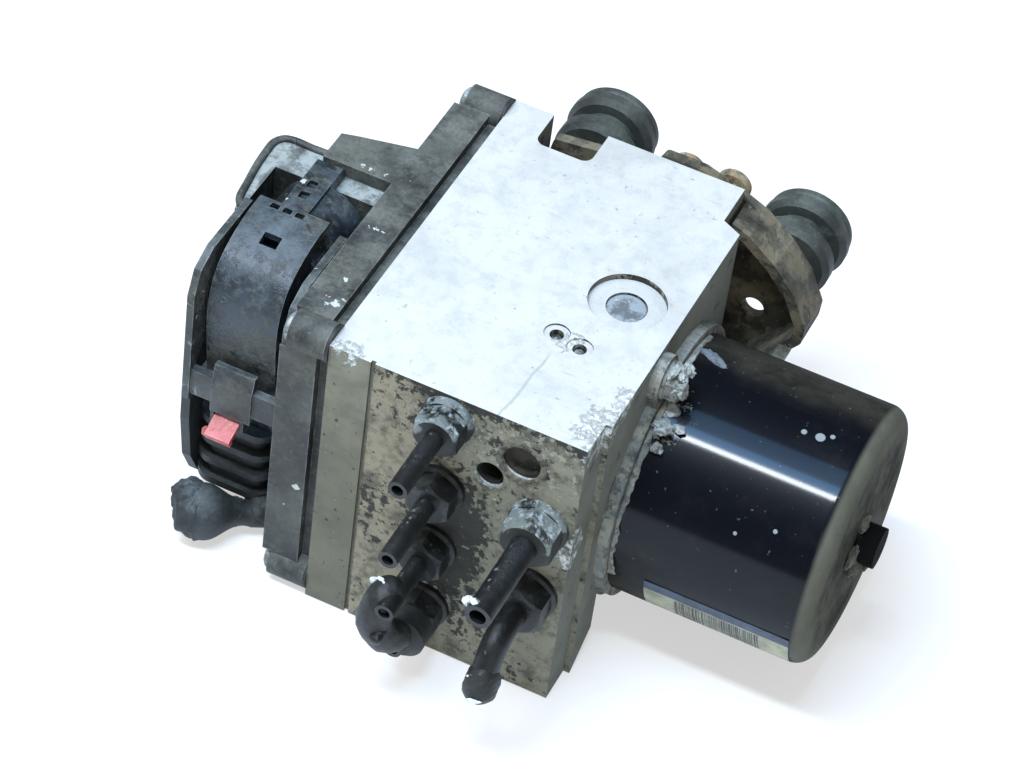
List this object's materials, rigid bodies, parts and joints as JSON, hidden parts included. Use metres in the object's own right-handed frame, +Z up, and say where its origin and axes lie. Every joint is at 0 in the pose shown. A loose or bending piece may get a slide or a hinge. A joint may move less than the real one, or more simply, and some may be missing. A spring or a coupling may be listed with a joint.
{
  "type": "abs brake module",
  "caption": "Anti-lock brake module: valve block with pump motor, control unit with lever plug, tube nuts and a rubber-mounted bracket.",
  "frame": {"origin": "middle of the valve block's foot", "axes": "+Z up, +X towards the pump motor's end, -Y out of the port face"},
  "size_m": [0.1982, 0.1778, 0.1009],
  "materials": {
    "block_metal": "corroded, dull",
    "bare_steel": "machined",
    "cast_aluminium": "machined",
    "plated_steel": "plated, white corrosion",
    "coated_tube": "dark coating",
    "black_paint": "glossy black paint",
    "rusty_steel": "worn, rusty",
    "magnet": "matt",
    "laminations": "oiled",
    "copper": "copper",
    "bronze": "sintered bronze",
    "carbon": "carbon",
    "black_plastic": "moulded, dusty",
    "red_plastic": "faded red",
    "black_rubber": "dusty rubber",
    "coil_wrap": "moulded over the winding"
  },
  "bodies": {
    "base": {"accumulator_caps": "cast_aluminium", "accumulator_spring_front": "bare_steel", "accumulator_spring_rear": "bare_steel", "ball_plugs": "bare_steel", "bracket_bolts": "rusty_steel", "brake_nut_1": "plated_steel", "brake_nut_2": "plated_steel", "brake_nut_3": "plated_steel", "brake_nut_4": "plated_steel", "brake_tube_1": "coated_tube", "brake_tube_2": "coated_tube", "brake_tube_3": "coated_tube", "brake_tube_4": "coated_tube", "brush_holder": "black_plastic", "brushes": "carbon", "circuit_board": "black_plastic", "ecu_gasket": "black_rubber", "ecu_housing": "black_plastic", "ecu_screws": "rusty_steel", "front_bearing": "bare_steel", "front_port_plug": "bare_steel", "header_pins": "copper", "hydraulic_block": "block_metal", "inlet_valves": "bare_steel", "motor_bolts": "rusty_steel", "motor_can": "black_paint", "motor_flange": "black_paint", "motor_magnets": "magnet", "mount_sleeves": "bare_steel", "mounting_bracket": "rusty_steel", "outlet_valves": "bare_steel", "piston_spring_lower": "bare_steel", "piston_spring_upper": "bare_steel", "pump_plug_lower": "bare_steel", "pump_plug_upper": "bare_steel", "rear_bush": "bronze", "rubber_mount_left": "black_rubber", "rubber_mount_right": "black_rubber", "solenoid_coils": "coil_wrap", "supply_nut_1": "plated_steel", "supply_nut_2": "plated_steel", "supply_tube_1": "coated_tube", "supply_tube_2": "coated_tube", "tube_boot": "black_rubber"},
    "rotor": {"motor_shaft": "bare_steel", "eccentric_ring": "bare_steel", "armature_core": "laminations", "armature_windings": "copper", "commutator": "copper"},
    "upper_piston": {"pump_piston_upper": "bare_steel"},
    "lower_piston": {"pump_piston_lower": "bare_steel"},
    "front_accumulator": {"accumulator_piston_front": "cast_aluminium"},
    "rear_accumulator": {"accumulator_piston_rear": "cast_aluminium"},
    "plug": {"plug_body": "black_plastic", "plug_hood": "black_plastic", "cable_boot": "black_rubber", "harness_stub": "black_rubber"},
    "lever": {"plug_lever": "black_plastic"},
    "lock": {"lever_lock": "red_plastic"}
  },
  "joints": [
    {"name": "rotor_spin", "type": "hinge", "parent": "base", "child": "rotor", "pos_m": [0.0615, -0.00105, 0.0468], "axis": [1, 0, 0], "continuous": true},
    {"name": "upper_piston_stroke", "type": "slide", "parent": "base", "child": "upper_piston", "axis": [0, 0, 1], "range_m": [0, 0.0018], "stiffness_N_per_m": 400, "deforming": ["piston_spring_upper"]},
    {"name": "lower_piston_stroke", "type": "slide", "parent": "base", "child": "lower_piston", "axis": [0, 0, -1], "range_m": [0, 0.0018], "stiffness_N_per_m": 400, "deforming": ["piston_spring_lower"]},
    {"name": "front_accumulator_stroke", "type": "slide", "parent": "base", "child": "front_accumulator", "axis": [0, 0, -1], "range_m": [0, 0.009], "stiffness_N_per_m": 500, "deforming": ["accumulator_spring_front"]},
    {"name": "rear_accumulator_stroke", "type": "slide", "parent": "base", "child": "rear_accumulator", "axis": [0, 0, -1], "range_m": [0, 0.009], "stiffness_N_per_m": 500, "deforming": ["accumulator_spring_rear"]},
    {"name": "plug_slide", "type": "slide", "parent": "base", "child": "plug", "axis": [0, -1, 0], "range_m": [0, 0.008]},
    {"name": "lever_swing", "type": "hinge", "parent": "plug", "child": "lever", "pos_m": [-0.06925, -0.01275, 0.08], "axis": [-1, 0, 0], "range_deg": [0, 75]},
    {"name": "lock_slide", "type": "slide", "parent": "lever", "child": "lock", "axis": [0, 0.9157, 0.4019], "range_m": [0, 0.0025]}
  ],
  "couplings": [
    {"joint": "lever_swing", "follows": "plug_slide", "rad_per_m": 163.5}
  ]
}
